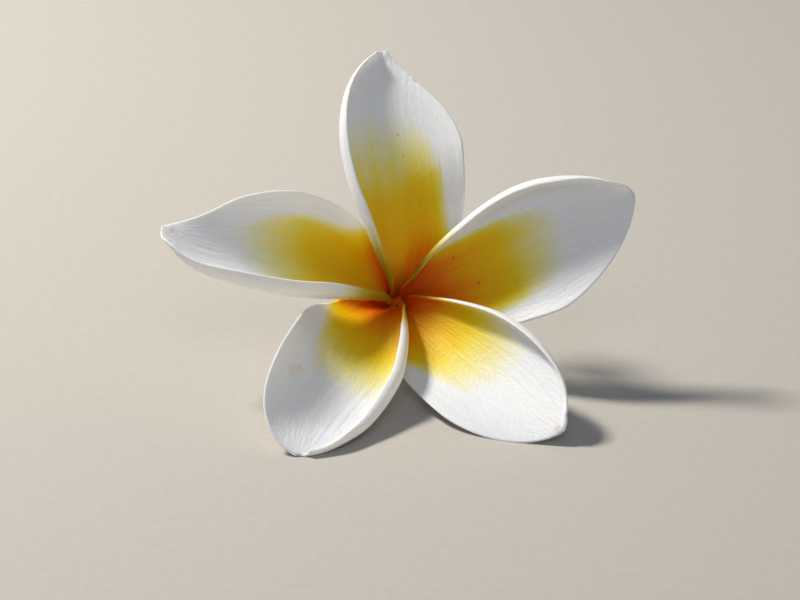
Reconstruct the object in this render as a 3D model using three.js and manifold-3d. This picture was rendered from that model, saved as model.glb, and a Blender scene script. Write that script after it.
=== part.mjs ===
// Frangipani flower: a fallen blossom that stands on two petals and the end of its tube.
//
// Millimetres, +Z up. The flower is modelled in a group of its own, with its axis along +Z and
// the throat at the group's origin. The group is then leaned forward and set on the ground.
//
// Each petal is a blade built on a bent midrib. At every station along the midrib a cross-section
// stands across it: gently cupped, with the counter-clockwise margin rolled forward and inward.
// All five petals are alike near the throat, so that they pass over one another like the blades
// of a camera shutter, and each bends its own way further out.

import * as THREE from 'three';
import { mergeVertices } from 'three/addons/utils/BufferGeometryUtils.js';
import Module from 'manifold-3d';

const wasm = await Module();
wasm.setup();

const { degToRad, smoothstep, clamp, lerp } = THREE.MathUtils;

// ---------------------------------------------------------------- stance

const faceElevation = 42;      // the face looks this far above the horizontal, degrees
const faceTurn = 5;            // and is turned this far about the vertical, degrees

// The middle of the throat, in the part's frame. Its height lets two petals and the tube reach
// about 0.2 mm below the ground, where they are cut off to leave the small flats they stand on.
const throat = new THREE.Vector3(0.097, 7.7, 11.2);

// ---------------------------------------------------------------- petals, all alike

const bladeThickness = 0.62;
const petalCount = 5;
const firstPetalAt = 20;       // degrees, counter-clockwise from the flower's right
const clawRadius = 1.7;        // how far from the axis a petal starts
const clawDepth = 3;           // and how far behind the throat
const clawShare = 0.055;       // width of the start, as a share of the full width

const clawLift = 84;           // rise of the midrib at its start, degrees above the petal plane
const openLift = 27;           // and beyond the throat
const liftFade = 0.08;         // share of the length over which the first gives way to the second

const clawTwist = 35;          // turn of the cross-section about the midrib at its start, degrees
const openTwist = 16;
const twistFade = 0.2;

const clawBend = 2.2;          // radius to which the claw is bent around the flower's axis
const clawBendFade = 0.1;

const fullRoll = 2.4;          // a rolled margin narrower than this turns over less

// ---------------------------------------------------------------- petals, one by one

// length, width, roll width: millimetres along the surface. widest: share of the length.
// share: of the width, on the counter-clockwise side. cup: degrees from margin to margin.
// roll: the counter-clockwise margin turns over by the angle, and its width and its angle lose the
// shares taper and unroll towards the tip.
// counterSide, clockSide: the outline on either side of the midrib swells to the widest point and
// closes at the tip.
// swing, sweep, hook: the midrib's heading in the petal plane, near the throat, along the whole
// petal and at the tip. bend: gain of lift up to the tip, negative where the petal falls back.
// twist: gain of turn about the midrib.
const petals = {
  petal_up_right: {
    length: 42.1, width: 24.2, share: 0.469, widest: 0.6, cup: 54,
    roll: { width: 4.8, taper: 0.11, angle: 122, unroll: 0.24 },
    counterSide: { swell: 1, tipStart: 1.89, tipBlunt: 0.6 },
    clockSide: { swell: 0.62, tipStart: 1.52, tipBlunt: 0.78 },
    swing: -5.9, sweep: 0.8, hook: 3.4, bend: -9.7, twist: -6.6,
  },
  petal_top: {
    length: 41.4, width: 23.5, share: 0.461, widest: 0.583, cup: 71,
    roll: { width: 5.5, taper: 0.53, angle: 117, unroll: 0.01 },
    counterSide: { swell: 1, tipStart: 1.86, tipBlunt: 0.63 },
    clockSide: { swell: 0.62, tipStart: 1.2, tipBlunt: 0.84 },
    swing: 0.2, sweep: -0.6, hook: -10.3, bend: -27.4, twist: -20.9,
  },
  petal_left: {
    length: 41.2, width: 21.9, share: 0.447, widest: 0.504, cup: 97,
    roll: { width: 5.6, taper: 0.42, angle: 121, unroll: 0.27 },
    counterSide: { swell: 1, tipStart: 1.94, tipBlunt: 0.69 },
    clockSide: { swell: 0.62, tipStart: 1.3, tipBlunt: 0.76 },
    swing: 2.9, sweep: 7.4, hook: -28.3, bend: -25.1, twist: -19,
  },
  petal_low_left: {
    length: 40, width: 22.7, share: 0.493, widest: 0.502, cup: 87,
    roll: { width: 3.6, taper: 0.43, angle: 155, unroll: 0.26 },
    counterSide: { swell: 1, tipStart: 2.5, tipBlunt: 0.51 },
    clockSide: { swell: 0.62, tipStart: 2.56, tipBlunt: 0.67 },
    swing: 1.3, sweep: -3.2, hook: 15.9, bend: 0.2, twist: -21.3,
  },
  petal_low_right: {
    length: 40.8, width: 21.9, share: 0.501, widest: 0.581, cup: 68,
    roll: { width: 4, taper: 0.42, angle: 112, unroll: 0.44 },
    counterSide: { swell: 1, tipStart: 2.12, tipBlunt: 0.65 },
    clockSide: { swell: 0.62, tipStart: 2.02, tipBlunt: 0.76 },
    swing: 3.7, sweep: -10.3, hook: 7.1, bend: 1.1, twist: -5.3,
  },
};

// ---------------------------------------------------------------- tube and stamens

const tubeLength = 14.75;      // from the throat to the open end
const seatGap = 0.3;           // between a petal's claw and the tube's rim
const tubeWall = 0.6;
const tubeMouthRadius = 2.15;
const tubeWaistRadius = 1.75;
const tubeBaseRadius = 2.05;   // the tube swells a little around the stamens
const tubeSides = 24;

const stamenCount = 5;
const stamenFoot = 1.6;        // foot of the filaments above the tube's end
const stamenLength = 3.2;
const antherRadius = 0.62;     // of all five, where they lean together
const antherGroove = 0.2;      // depth of the grooves between them, as a share of the radius
const filamentReach = 0.25;    // share of the length over which the filaments spread to the wall

// ---------------------------------------------------------------- grid of a blade

const stationCount = 27;
const clockColumns = 6;
const flatColumns = 4;
const rollColumns = 6;
const midribSteps = 12;        // between two stations
const sectionSteps = 24;       // between two columns

// ---------------------------------------------------------------- materials

function matte(color, roughness) {
  return new THREE.MeshStandardMaterial({ color, roughness, metalness: 0, side: THREE.DoubleSide });
}
const petalWhite = matte(0xf3f1e6, 0.55);
const tubeCream = matte(0xd9d69a, 0.6);
const antherYellow = matte(0xd8b24a, 0.7);

// ---------------------------------------------------------------- solids

function toSolid(geometry) {
  const bare = geometry.clone();
  bare.deleteAttribute('normal');
  bare.deleteAttribute('uv');
  const merged = mergeVertices(bare);
  return new wasm.Manifold(new wasm.Mesh({
    numProp: 3,
    vertProperties: new Float32Array(merged.attributes.position.array),
    triVerts: new Uint32Array(merged.index.array),
  }));
}

function toGeometry(solid) {
  const { vertProperties, triVerts } = solid.getMesh();
  const geometry = new THREE.BufferGeometry();
  geometry.setAttribute('position', new THREE.BufferAttribute(vertProperties, 3));
  geometry.setIndex(new THREE.BufferAttribute(triVerts, 1));
  geometry.computeVertexNormals();
  return geometry;
}

// ---------------------------------------------------------------- the petal's formula

// A bell that is 1 at the start of the petal and fades within the given share of its length.
function fade(along, reach) {
  return Math.exp(-((along / reach) ** 2));
}

function liftAt(petal, along) {
  const outward = clamp((along - 0.12) / 0.88, 0, 1);
  return degToRad(openLift + (clawLift - openLift) * fade(along, liftFade) + petal.bend * outward);
}

function headingAt(petal, along) {
  const nearThroat = petal.swing * smoothstep(along, 0, 0.35);
  const whole = petal.sweep * along ** 1.5;
  const atTip = petal.hook * smoothstep(along, 0.7, 1);
  return degToRad(nearThroat + whole + atTip);
}

function twistAt(petal, along) {
  const common = openTwist + (clawTwist - openTwist) * fade(along, twistFade);
  return degToRad(common + petal.twist * smoothstep(along, 0.1, 0.6));
}

// Width of one side of the blade, as a share of its full width.
function outlineAt(petal, side, along) {
  if (along < petal.widest) {
    const swelling = Math.sin((Math.PI / 2) * (along / petal.widest)) ** side.swell;
    return lerp(clawShare, 1, swelling);
  }
  const beyond = (along - petal.widest) / (1 - petal.widest);
  return (1 - beyond ** side.tipStart) ** side.tipBlunt;
}

function tangentAt(petal, along) {
  const lift = liftAt(petal, along);
  const heading = headingAt(petal, along);
  return new THREE.Vector3(
    Math.cos(lift) * Math.cos(heading),
    Math.cos(lift) * Math.sin(heading),
    Math.sin(lift),
  );
}

// Stations are closer together at both ends, where the petal bends and narrows the most.
function stationPlaces() {
  return Array.from({ length: stationCount }, (_, i) => {
    const even = i / (stationCount - 1);
    return 0.999 * (even - 0.1 * Math.sin(2 * Math.PI * even));
  });
}

// Distances from the midrib, along the blade's surface, at which a station has its vertices.
function columnPlaces(clockWidth, counterWidth, rollWidth) {
  const flatWidth = counterWidth - rollWidth;
  const places = [];
  for (let i = -clockColumns; i < 0; i++) places.push((clockWidth * i) / clockColumns);
  for (let i = 0; i < flatColumns; i++) places.push((flatWidth * i) / flatColumns);
  for (let i = 0; i <= rollColumns; i++) places.push(flatWidth + (rollWidth * i) / rollColumns);
  return places;
}

// The cross-section's direction at a distance from the midrib: cupped all over, rolled at the edge.
function sectionAngle(petal, along, distance, counterWidth, rollWidth) {
  const cup = (degToRad(petal.cup) * smoothstep(along, 0, 0.25)) / petal.width;
  const claw = fade(along, clawBendFade) / clawBend;
  const turn = degToRad(petal.roll.angle) * smoothstep(along, 0.02, 0.14) * Math.min(1, rollWidth / fullRoll)
    * (1 - petal.roll.unroll * smoothstep(along, 0.72, 0.97));
  const into = clamp((distance - counterWidth + rollWidth) / rollWidth, 0, 1);
  return (cup + claw) * distance + turn * 0.5 * (into + smoothstep(into, 0, 1));
}

// Points of one cross-section: x across the blade, y towards its face.
function sectionPoints(petal, along) {
  const clockWidth = petal.width * (1 - petal.share) * outlineAt(petal, petal.clockSide, along);
  const counterWidth = petal.width * petal.share * outlineAt(petal, petal.counterSide, along);
  const rolled = petal.roll.width * lerp(0.3, 1, smoothstep(along, 0, 0.4))
    * (1 - petal.roll.taper * smoothstep(along, 0.5, 1));
  const rollWidth = Math.min(rolled, 0.8 * counterWidth);
  const places = columnPlaces(clockWidth, counterWidth, rollWidth);
  const points = [new THREE.Vector2(0, 0)];
  for (let j = 1; j < places.length; j++) {
    const point = points[j - 1].clone();
    const step = (places[j] - places[j - 1]) / sectionSteps;
    for (let k = 0; k < sectionSteps; k++) {
      const distance = places[j - 1] + (k + 0.5) * step;
      const angle = sectionAngle(petal, along, distance, counterWidth, rollWidth);
      point.x += Math.cos(angle) * step;
      point.y += Math.sin(angle) * step;
    }
    points.push(point);
  }
  const midrib = points[clockColumns].clone();
  return points.map((point) => point.sub(midrib));
}

// The blade's middle surface: one row of points for each station, from the clockwise margin to
// the rolled one.
function bladeSheet(petal) {
  const places = stationPlaces();
  const midrib = new THREE.Vector3(clawRadius, 0, -clawDepth);
  const positions = [];
  places.forEach((along, i) => {
    const from = i === 0 ? along : places[i - 1];
    const step = (along - from) / midribSteps;
    for (let k = 0; k < midribSteps; k++) {
      midrib.addScaledVector(tangentAt(petal, from + (k + 0.5) * step), step * petal.length);
    }
    const heading = headingAt(petal, along);
    const twist = twistAt(petal, along);
    const level = new THREE.Vector3(-Math.sin(heading), Math.cos(heading), 0);
    const upright = new THREE.Vector3().crossVectors(tangentAt(petal, along), level);
    const across = level.clone().multiplyScalar(Math.cos(twist)).addScaledVector(upright, Math.sin(twist));
    const facing = upright.clone().multiplyScalar(Math.cos(twist)).addScaledVector(level, -Math.sin(twist));
    for (const { x, y } of sectionPoints(petal, along)) {
      const point = midrib.clone().addScaledVector(across, x).addScaledVector(facing, y);
      positions.push(point.x, point.y, point.z);
    }
  });
  const columns = positions.length / 3 / places.length;
  const triangles = [];
  for (let i = 0; i < places.length - 1; i++) {
    for (let j = 0; j < columns - 1; j++) {
      const corner = i * columns + j;
      triangles.push(corner, corner + columns, corner + columns + 1);
      triangles.push(corner, corner + columns + 1, corner + 1);
    }
  }
  const sheet = new THREE.BufferGeometry();
  sheet.setAttribute('position', new THREE.Float32BufferAttribute(positions, 3));
  sheet.setIndex(triangles);
  sheet.computeVertexNormals();
  return { sheet, rows: places.length, columns };
}

// Vertex numbers around the sheet's edge, in the direction in which its triangles run.
function sheetEdge(rows, columns) {
  const edge = [];
  for (let i = 0; i < rows - 1; i++) edge.push(i * columns);
  for (let j = 0; j < columns - 1; j++) edge.push((rows - 1) * columns + j);
  for (let i = rows - 1; i > 0; i--) edge.push(i * columns + columns - 1);
  for (let j = columns - 1; j > 0; j--) edge.push(j);
  return edge;
}

// The sheet given its thickness: a front and a back face, split into the same triangles, and a rim.
function bladeGeometry(petal) {
  const { sheet, rows, columns } = bladeSheet(petal);
  const point = new THREE.Vector3();
  const normal = new THREE.Vector3();
  const count = sheet.attributes.position.count;
  const positions = [];
  for (const side of [0.5, -0.5]) {
    for (let i = 0; i < count; i++) {
      point.fromBufferAttribute(sheet.attributes.position, i);
      normal.fromBufferAttribute(sheet.attributes.normal, i);
      point.addScaledVector(normal, side * bladeThickness);
      positions.push(point.x, point.y, point.z);
    }
  }
  const front = Array.from(sheet.index.array);
  const triangles = [...front];
  for (let i = 0; i < front.length; i += 3) {
    triangles.push(front[i] + count, front[i + 2] + count, front[i + 1] + count);
  }
  const edge = sheetEdge(rows, columns);
  edge.forEach((here, i) => {
    const next = edge[(i + 1) % edge.length];
    triangles.push(next, here, here + count);
    triangles.push(next, here + count, next + count);
  });
  const geometry = new THREE.BufferGeometry();
  geometry.setAttribute('position', new THREE.Float32BufferAttribute(positions, 3));
  geometry.setIndex(triangles);
  geometry.computeVertexNormals();
  return geometry;
}

// ---------------------------------------------------------------- tube

// Outer radius of the tube at a height above its open end.
function tubeRadius(height) {
  const rimHeight = tubeLength - clawDepth - seatGap;
  const base = lerp(tubeBaseRadius, tubeWaistRadius, smoothstep(height, 2, 6));
  const flare = smoothstep(height, 0.6 * rimHeight, rimHeight);
  return lerp(base, tubeMouthRadius, flare);
}

function tubeGeometry() {
  const rimHeight = tubeLength - clawDepth - seatGap;
  const rings = 8;
  const outer = [];
  const inner = [];
  for (let i = 0; i <= rings; i++) {
    const height = (rimHeight * i) / rings;
    outer.push(new THREE.Vector2(tubeRadius(height), height - tubeLength));
    inner.unshift(new THREE.Vector2(tubeRadius(height) - tubeWall, height - tubeLength));
  }
  const profile = [...outer, ...inner, outer[0].clone()];
  return new THREE.LatheGeometry(profile, tubeSides).rotateX(Math.PI / 2);
}

// ---------------------------------------------------------------- stamens

// Five anthers that lean together to a point, on five short filaments that spread to the tube's
// wall: one body, whose radius goes by height and by direction.
function stamensGeometry() {
  const rings = 9;
  const sides = 6 * stamenCount;
  const wallRadius = tubeBaseRadius - tubeWall - seatGap;
  const positions = [];
  for (let i = 0; i <= rings; i++) {
    const up = i / rings;
    const anthers = antherRadius * Math.sqrt(1 - 0.98 * up ** 2);
    const foot = (1 - smoothstep(up, 0, filamentReach)) * (wallRadius - antherRadius);
    for (let j = 0; j < sides; j++) {
      const direction = (2 * Math.PI * j) / sides;
      const lobe = 0.5 + 0.5 * Math.cos(stamenCount * direction);
      const radius = anthers * (1 - antherGroove * (1 - lobe)) + foot * lobe ** 3;
      const height = stamenFoot - tubeLength + stamenLength * up;
      positions.push(radius * Math.cos(direction), radius * Math.sin(direction), height);
    }
  }
  const foot = positions.length / 3;
  const tip = foot + 1;
  positions.push(0, 0, stamenFoot - tubeLength);
  positions.push(0, 0, stamenFoot - tubeLength + stamenLength + 0.05);
  const triangles = [];
  for (let j = 0; j < sides; j++) {
    const next = (j + 1) % sides;
    triangles.push(foot, next, j);
    triangles.push(tip, rings * sides + j, rings * sides + next);
    for (let i = 0; i < rings; i++) {
      const low = i * sides;
      triangles.push(low + j, low + next, low + sides + next);
      triangles.push(low + j, low + sides + next, low + sides + j);
    }
  }
  const geometry = new THREE.BufferGeometry();
  geometry.setAttribute('position', new THREE.Float32BufferAttribute(positions, 3));
  geometry.setIndex(triangles);
  geometry.computeVertexNormals();
  return geometry;
}

// ---------------------------------------------------------------- the flower

const flower = new THREE.Group();
flower.position.copy(throat);
flower.rotation.set(degToRad(90 - faceElevation), 0, degToRad(faceTurn), 'ZXY');

function addPiece(name, geometry, material, turn = 0) {
  const mesh = new THREE.Mesh(geometry, material);
  mesh.name = name;
  mesh.rotation.z = degToRad(turn);
  flower.add(mesh);
  return mesh;
}

// Takes off what reaches below the ground, so that the piece stands on a small flat.
function standOnGround(mesh) {
  mesh.updateWorldMatrix(true, false);
  const ground = new THREE.BoxGeometry(200, 200, 20).translate(0, 0, -10);
  ground.applyMatrix4(mesh.matrixWorld.clone().invert());
  mesh.geometry = toGeometry(toSolid(mesh.geometry).subtract(toSolid(ground)));
}

Object.entries(petals).forEach(([name, petal], i) => {
  const turn = firstPetalAt + (360 / petalCount) * i;
  addPiece(name, bladeGeometry(petal), petalWhite, turn);
});
const tube = addPiece('corolla_tube', tubeGeometry(), tubeCream);
addPiece('stamens', stamensGeometry(), antherYellow);

[flower.getObjectByName('petal_low_left'), flower.getObjectByName('petal_low_right'), tube].forEach(standOnGround);

const part = new THREE.Group();
part.add(flower);
export default part;
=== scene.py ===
# %% [markdown]
# # A frangipani blossom
#
# A fallen frangipani (plumeria) flower: five waxy white petals with a golden throat, which pass
# over one another like the blades of a shutter, and a thin tube behind them with five small
# anthers inside. It stands on the edges of its two lower petals and on the end of the tube.
#
# The solids of the flower are loaded first and fix where everything is. Each one is then replaced
# by a finer surface of the same form, with veins, thin margins and its own colours.

# %% Load the frame
import math

import bpy
import numpy as np
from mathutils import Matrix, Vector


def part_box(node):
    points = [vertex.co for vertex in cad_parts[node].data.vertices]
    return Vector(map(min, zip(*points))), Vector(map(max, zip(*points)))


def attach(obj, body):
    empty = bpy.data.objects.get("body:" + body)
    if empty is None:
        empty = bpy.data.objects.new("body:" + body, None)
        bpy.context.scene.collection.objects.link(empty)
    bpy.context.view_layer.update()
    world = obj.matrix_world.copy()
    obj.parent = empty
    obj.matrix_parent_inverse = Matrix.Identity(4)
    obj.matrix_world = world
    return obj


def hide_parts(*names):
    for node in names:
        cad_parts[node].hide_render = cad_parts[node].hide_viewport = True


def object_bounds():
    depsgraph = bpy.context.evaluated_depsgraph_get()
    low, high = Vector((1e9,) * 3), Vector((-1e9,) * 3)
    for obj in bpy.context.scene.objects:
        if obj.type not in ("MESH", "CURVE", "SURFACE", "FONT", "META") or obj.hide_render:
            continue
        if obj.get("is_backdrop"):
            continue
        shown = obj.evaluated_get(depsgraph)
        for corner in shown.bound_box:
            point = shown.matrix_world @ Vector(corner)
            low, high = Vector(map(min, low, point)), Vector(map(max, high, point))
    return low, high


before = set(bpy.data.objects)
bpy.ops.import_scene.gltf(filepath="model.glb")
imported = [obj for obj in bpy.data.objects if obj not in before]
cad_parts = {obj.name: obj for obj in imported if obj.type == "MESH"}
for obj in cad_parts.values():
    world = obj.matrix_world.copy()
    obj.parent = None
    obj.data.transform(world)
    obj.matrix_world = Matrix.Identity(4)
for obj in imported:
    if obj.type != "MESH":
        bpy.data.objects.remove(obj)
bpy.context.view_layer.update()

MM = 0.001

# %% [markdown]
# ## Small helpers
#
# Lengths in this lesson are millimetres, as a gardener would measure a flower, and Blender gets
# them in metres. The formulas below work on whole arrays at once, so one call shapes a petal.

# %% Numbers and curves


def smoothstep(value, low, high):
    """Zero up to low and one from high on. Between them, with t as the share of the way, it is
    three t squared less two t cubed, which starts and ends level."""
    t = np.clip((value - low) / (high - low), 0, 1)
    return t * t * (3 - 2 * t)


def fade(along, reach):
    """A bell that is one at zero: e to the power of minus the square of along over reach."""
    return np.exp(-((along / reach) ** 2))


def between(start, end, share):
    """Start plus that share of the way to end."""
    return start + (end - start) * share


# %% [markdown]
# ## Where the flower stands
#
# A flower is easiest to describe with its own axis upright: the tube below, the petals spread
# around it. The finished points are then turned so that the face looks 42 degrees above the
# horizontal, and moved so that the throat is where the solids have it.

# %% Stance
FACE_ELEVATION = 42      # degrees
FACE_TURN = 5
THROAT = np.array([0.097, 7.7, 11.2])


def turned(points, degrees, axis):
    """The points turned about one axis by a rotation matrix: the two other coordinates become
    their mixes by the angle's cosine and sine."""
    c, s = math.cos(math.radians(degrees)), math.sin(math.radians(degrees))
    first, second = {"x": (1, 2), "z": (0, 1)}[axis]
    out = points.copy()
    out[..., first] = c * points[..., first] - s * points[..., second]
    out[..., second] = s * points[..., first] + c * points[..., second]
    return out


def stand_up(points):
    """Flower coordinates to the part's: leaned back about X, turned about Z, moved to the throat."""
    return turned(turned(points, 90 - FACE_ELEVATION, "x"), FACE_TURN, "z") + THROAT


# %% [markdown]
# ## The form of a petal
#
# A frangipani petal is a blade on a midrib that climbs out of the throat and then lays itself
# back. It could be sculpted from a plane, but five petals that overlap in a ring have to agree
# with one another near the throat. So the shape is a formula: a midrib that is added up from its
# direction, and at each place along it a cross-section that is cupped all over and rolled forward
# at its counter-clockwise margin. All five petals share the numbers near the throat, and each has
# its own for the open part.

# %% Numbers that all petals share
# The claw is the narrow foot of a petal, inside the throat. Its numbers are where it starts,
# outwards and down, in millimetres; the shares of its two sides' widths at the start; its rise and
# twist in degrees; and the radius, in millimetres, that its cross-section is bent to at first, with
# the share of the length over which that bend fades.
PETAL_TURN = 72
FIRST_PETAL_AT = 20
CLAW = dict(radius=1.7, depth=3, share=0.055, covered=0.25,
            lift=84, twist=35, bend=2.2, bend_fade=0.1)
OPEN = dict(lift=27, twist=16, lift_fade=0.08, twist_fade=0.2)
CLAW_END = 0.12
FULL_ROLL = 2.4          # a roll that is narrower than this many millimetres turns by less
ROLL_START = 0.3         # share of its width that the roll has in the throat
ROLL_LIMIT = 0.8         # largest share of its side that the roll takes up

# Where each change along a petal starts and ends, as shares of its length.
ALONG = dict(
    swing=(0, 0.35), hook=(0.7, 1), twist=(0.1, 0.6), cup=(0, 0.25),
    roll_widens=(0, 0.4), roll_narrows=(0.5, 1), roll_turns=(0.02, 0.14), roll_opens=(0.72, 0.97),
    ribs_begin=(0.12, 0.4), ribs_end=(0.9, 1), waves_begin=(0.2, 0.5),
    margins_whiten=(0.13, 0.38), veins_spread=(0.5, 0.95))

# %% Numbers of each petal
# The length and the width in millimetres; the share of the width on the counter-clockwise side;
# where the petal is widest; its cup in degrees; the roll's width in millimetres, the share of it
# that is lost towards the tip, its turn in degrees and the share of that which opens at the tip;
# for each side the powers of its swell, its closing and its blunt end; and in degrees the swing,
# sweep and hook sideways, the bend back and the twist. A nick has its place and its reach, as
# shares of the length, and its depth in millimetres, and so is the height of the ribs.
PETALS = {
    "up_right": dict(
        length=42.1, width=24.2, share=0.469, widest=0.6, cup=54,
        roll=4.8, taper=0.11, roll_angle=122, unroll=0.24,
        counter_side=(1, 1.89, 0.6), clock_side=(0.62, 1.52, 0.78),
        swing=-5.9, sweep=0.8, hook=3.4, bend=-9.7, twist=-6.6,
        nicks=(), ribs=0.02),
    "top": dict(
        length=41.4, width=23.5, share=0.461, widest=0.583, cup=71,
        roll=5.5, taper=0.53, roll_angle=117, unroll=0.01,
        counter_side=(1, 1.86, 0.63), clock_side=(0.62, 1.45, 1.03),
        swing=0.2, sweep=-0.6, hook=-10.3, bend=-27.4, twist=-20.9,
        nicks=((0.866, 0.007, 0.3),), ribs=0.02),
    "left": dict(
        length=41.2, width=21.9, share=0.447, widest=0.504, cup=97,
        roll=5.6, taper=0.42, roll_angle=121, unroll=0.27,
        counter_side=(1, 1.94, 0.69), clock_side=(0.62, 1.5, 0.92),
        swing=2.9, sweep=7.4, hook=-28.3, bend=-25.1, twist=-19,
        nicks=(), ribs=0.02),
    "low_left": dict(
        length=40, width=22.7, share=0.493, widest=0.502, cup=87,
        roll=3.6, taper=0.43, roll_angle=155, unroll=0.26,
        counter_side=(1, 2.5, 0.51), clock_side=(0.62, 2.56, 0.67),
        swing=1.3, sweep=-3.2, hook=21, bend=0.2, twist=-21.3,
        nicks=(), ribs=0.035),
    "low_right": dict(
        length=40.8, width=21.9, share=0.501, widest=0.581, cup=68,
        roll=4, taper=0.42, roll_angle=112, unroll=0.44,
        counter_side=(1, 2.12, 0.65), clock_side=(0.62, 2.02, 0.76),
        swing=3.7, sweep=-10.3, hook=7.1, bend=1.1, twist=-5.3,
        nicks=(), ribs=0.02),
}
print(len(PETALS), "petals,", min(p["length"] for p in PETALS.values()), "to",
      max(p["length"] for p in PETALS.values()), "mm long")

# %% Midrib
MIDRIB_STEPS = 4000


def lift_at(petal, along):
    """Rise above the petal plane: steep in the claw, then even, then easing by the petal's bend."""
    outward = np.clip((along - CLAW_END) / (1 - CLAW_END), 0, 1)
    claw = (CLAW["lift"] - OPEN["lift"]) * fade(along, OPEN["lift_fade"])
    return np.radians(OPEN["lift"] + claw + petal["bend"] * outward)


def heading_at(petal, along):
    """Direction in the petal plane: a swing near the throat, a hook at the tip, and a sweep that
    grows with the power 1.5 of the place."""
    swing = petal["swing"] * smoothstep(along, *ALONG["swing"])
    hook = petal["hook"] * smoothstep(along, *ALONG["hook"])
    return np.radians(swing + petal["sweep"] * along ** 1.5 + hook)


def twist_at(petal, along):
    """Turn of the cross-section about the midrib: the claw's fades, and the petal's comes in."""
    claw = (CLAW["twist"] - OPEN["twist"]) * fade(along, OPEN["twist_fade"])
    return np.radians(OPEN["twist"] + claw + petal["twist"] * smoothstep(along, *ALONG["twist"]))


def direction_at(petal, along):
    """Unit vector along the midrib, from its lift and its heading."""
    lift, heading = lift_at(petal, along), heading_at(petal, along)
    level = np.cos(lift)
    return np.stack([level * np.cos(heading), level * np.sin(heading), np.sin(lift)], -1)


def midrib_points(petal, along):
    """Points of the midrib: its start plus the running sum of direction times step."""
    fine = np.linspace(0, 1, MIDRIB_STEPS + 1)
    middles = (fine[1:] + fine[:-1]) / 2
    steps = direction_at(petal, middles) * np.diff(fine)[:, None] * petal["length"]
    path = np.vstack([[0, 0, 0], np.cumsum(steps, 0)]) + [CLAW["radius"], 0, -CLAW["depth"]]
    return np.stack([np.interp(along, fine, path[:, i]) for i in range(3)], -1)


# %% Outline and cross-section


def outline_at(petal, side, along):
    """Width of one side as a share: a power of a sine up to the widest place, and beyond it one
    less a power, to a power that makes the tip blunt."""
    swell, tip_start, tip_blunt = petal[side]
    swelling = np.sin(np.pi / 2 * np.minimum(along / petal["widest"], 1)) ** swell
    beyond = np.clip((along - petal["widest"]) / (1 - petal["widest"]), 0, 1)
    closing = (1 - beyond ** tip_start) ** tip_blunt
    start = CLAW["covered"] if side == "clock_side" else CLAW["share"]
    return np.where(along < petal["widest"], between(start, 1, swelling), closing)


def side_widths(petal, along):
    """Millimetres on the clockwise side, less its nicks, on the counter-clockwise side and in the
    roll, which widens out of the throat and narrows towards the tip."""
    clock = petal["width"] * (1 - petal["share"]) * outline_at(petal, "clock_side", along)
    clock = clock - sum(depth * fade(along - place, reach) for place, reach, depth in petal["nicks"])
    counter = petal["width"] * petal["share"] * outline_at(petal, "counter_side", along)
    wide = between(ROLL_START, 1, smoothstep(along, *ALONG["roll_widens"]))
    narrow = 1 - petal["taper"] * smoothstep(along, *ALONG["roll_narrows"])
    return clock, counter, np.minimum(petal["roll"] * wide * narrow, ROLL_LIMIT * counter)


def section_angle(petal, along, distance, counter, roll):
    """Direction of the cross-section at a distance from the midrib: it grows evenly with the
    distance, which cups the blade, and once more within the rolled margin, half evenly and half
    by the smooth step."""
    cup = np.radians(petal["cup"]) * smoothstep(along, *ALONG["cup"]) / petal["width"]
    claw = fade(along, CLAW["bend_fade"]) / CLAW["bend"]
    turn = np.radians(petal["roll_angle"]) * smoothstep(along, *ALONG["roll_turns"])
    turn = turn * np.minimum(1, roll / FULL_ROLL)
    turn = turn * (1 - petal["unroll"] * smoothstep(along, *ALONG["roll_opens"]))
    into = np.clip((distance - counter + roll) / roll, 0, 1)
    return (cup + claw) * distance + turn * (into + smoothstep(into, 0, 1)) / 2


# %% [markdown]
# ## The grid of a petal
#
# Rows run across the petal and columns along it. The rows crowd together at the tip and the
# columns at both margins, because that is where the outline turns and the blade thins out.

# %% Rows and columns
ROWS = 210
LAST_ROW = 0.99985       # the last row stops just short of the tip
TIP_CROWDING = 1.45
RIM = 0.3                # millimetres over which a margin is rounded
RIM_LIMIT = 0.4          # and the largest share of the narrower side that this takes up
RIM_COLUMNS = 7
CLOCK_COLUMNS = 58
FLAT_COLUMNS = 46
ROLL_COLUMNS = 40
SUBSTEPS = 4


def row_places():
    """Shares of the length: one less the remaining share to the power of the tip crowding, so the
    steps shrink to nothing at the tip."""
    return LAST_ROW * (1 - (1 - np.linspace(0, 1, ROWS)) ** TIP_CROWDING)


def column_places(clock, counter, roll):
    """Distances from the midrib, row by row: even steps, and at both margins the steps of a
    quarter circle, which make a round rim."""
    rim = np.minimum(RIM, RIM_LIMIT * np.minimum(clock, roll))[:, None]
    round_steps = 1 - np.cos(np.pi / 2 * np.arange(RIM_COLUMNS) / RIM_COLUMNS)
    clock, counter, roll = clock[:, None], counter[:, None], roll[:, None]
    clock_part = np.linspace(0, 1, CLOCK_COLUMNS, endpoint=False)
    flat_part = np.linspace(0, 1, FLAT_COLUMNS, endpoint=False)
    roll_part = np.linspace(0, 1, ROLL_COLUMNS + 1)
    return np.hstack([
        -clock + rim * round_steps,
        (rim - clock) * (1 - clock_part),
        (counter - roll) * flat_part,
        counter - roll + (roll - rim) * roll_part,
        (counter - rim * round_steps)[:, ::-1],
    ])


def section_points(petal, along, places, counter, roll):
    """Across and upward shifts of every column: running sums of the cosine and the sine of the
    section's angle times the step, shifted to be zero at the midrib."""
    steps = np.diff(places, axis=1)[..., None] / SUBSTEPS
    middles = places[:, :-1, None] + steps * (np.arange(SUBSTEPS) + 0.5)
    along, counter, roll = (values[:, None, None] for values in (along, counter, roll))
    angle = section_angle(petal, along, middles, counter, roll)
    midrib = RIM_COLUMNS + CLOCK_COLUMNS
    shifts = []
    for part in (np.cos(angle), np.sin(angle)):
        running = np.cumsum((part * steps).sum(-1), 1)
        running = np.hstack([np.zeros((len(places), 1)), running])
        shifts.append(running - running[:, midrib:midrib + 1])
    return shifts


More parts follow.
